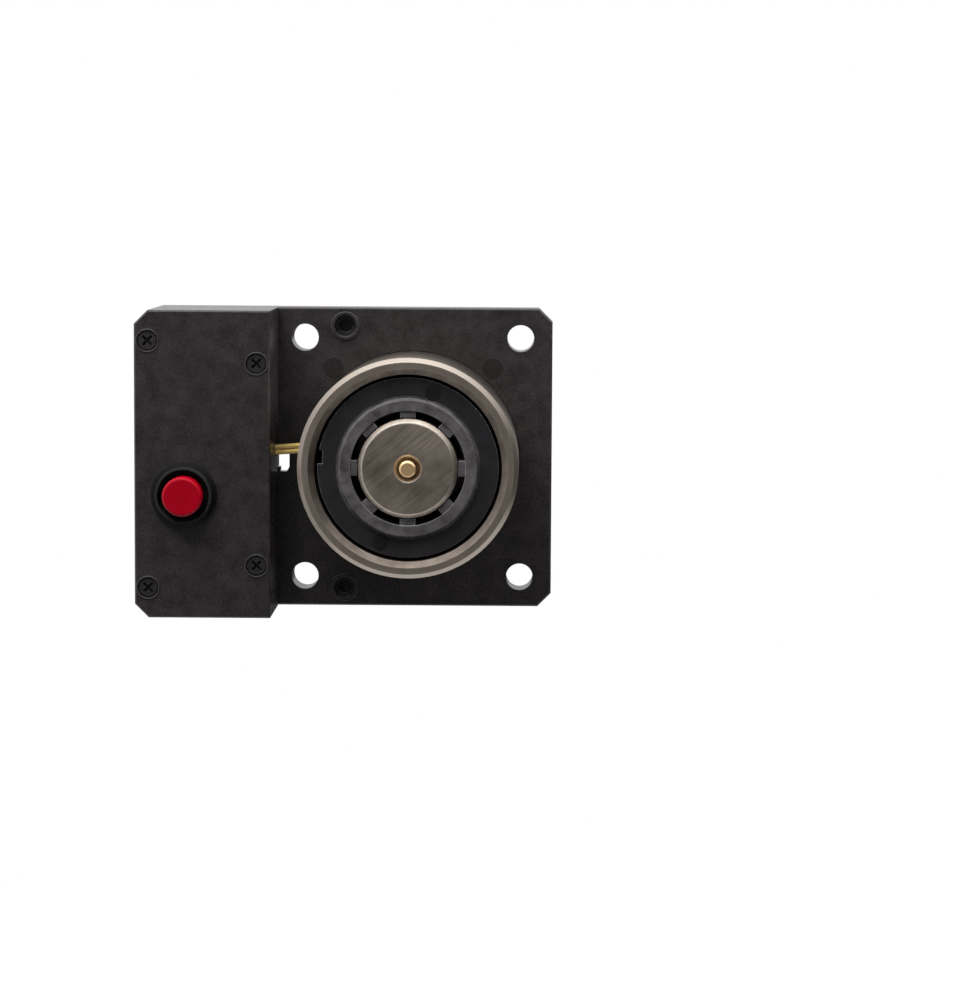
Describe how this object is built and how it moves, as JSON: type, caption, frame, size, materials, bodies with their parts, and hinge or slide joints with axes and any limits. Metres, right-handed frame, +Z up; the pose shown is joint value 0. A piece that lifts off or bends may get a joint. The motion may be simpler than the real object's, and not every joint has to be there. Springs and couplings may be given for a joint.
{
  "type": "electromagnetic door holder",
  "caption": "Wall-mounted magnet unit that holds a door open: pot magnet and push-off pin on a black base, with a terminal box and a red release button.",
  "frame": {"origin": "on the magnet's axis, in the plane of the wall behind the base", "axes": "+X to the right along the base, +Z up, +Y into the wall, so the magnet faces -Y"},
  "size_m": [0.115, 0.0398, 0.085],
  "materials": {
    "moulded_black": "fine mottled moulding grain",
    "screw_black": "black oxide",
    "plated_steel": "turned and nickel plated, warm grey",
    "pole_steel": "ground face with diagonal streaks",
    "zinc_steel": "zinc plated",
    "bobbin_black": "smooth satin moulding",
    "copper": "enamelled copper wire",
    "coil_tape": "black polyester tape",
    "brass": "turned brass",
    "spring_steel": "drawn spring wire",
    "lead_yellow": "yellow sleeving",
    "bezel_black": "glossy black moulding",
    "cap_red": "semi-gloss red moulding",
    "tinned_brass": "tinned brass",
    "board_green": "green solder mask",
    "block_green": "green moulded block",
    "diode_black": "black body with tinned legs"
  },
  "bodies": {
    "housing": {"base_plate": "moulded_black", "terminal_cover": "moulded_black", "cover_screw_1": "screw_black", "cover_screw_2": "screw_black", "cover_screw_3": "screw_black", "cover_screw_4": "screw_black", "magnet_pot": "plated_steel", "magnet_core": "pole_steel", "spring_plug": "zinc_steel", "magnet_screw_1": "zinc_steel", "magnet_screw_2": "zinc_steel", "magnet_screw_3": "zinc_steel", "board_screw_1": "zinc_steel", "board_screw_2": "zinc_steel", "terminal_screws": "zinc_steel", "coil_bobbin": "bobbin_black", "coil_winding": "copper", "coil_tape": "coil_tape", "push_off_spring": "spring_steel", "button_spring": "spring_steel", "lead_wire_upper": "lead_yellow", "lead_wire_lower": "lead_yellow", "switch_bezel": "bezel_black", "switch_nut": "bezel_black", "switch_block": "bezel_black", "switch_terminals": "tinned_brass", "circuit_board": "board_green", "terminal_block": "block_green", "suppression_diode": "diode_black"},
    "button": {"button_cap": "cap_red"},
    "push_off": {"push_off_pin": "brass"}
  },
  "joints": [
    {"name": "button_press", "type": "slide", "parent": "housing", "child": "button", "axis": [0, 1, 0], "range_m": [0, 0.0025], "stiffness_N_per_m": 700, "springref_m": -0.003, "deforming": ["button_spring"]},
    {"name": "pin_push_off", "type": "slide", "parent": "housing", "child": "push_off", "axis": [0, 1, 0], "range_m": [0, 0.0015], "stiffness_N_per_m": 3000, "springref_m": -0.003, "deforming": ["push_off_spring"]}
  ]
}
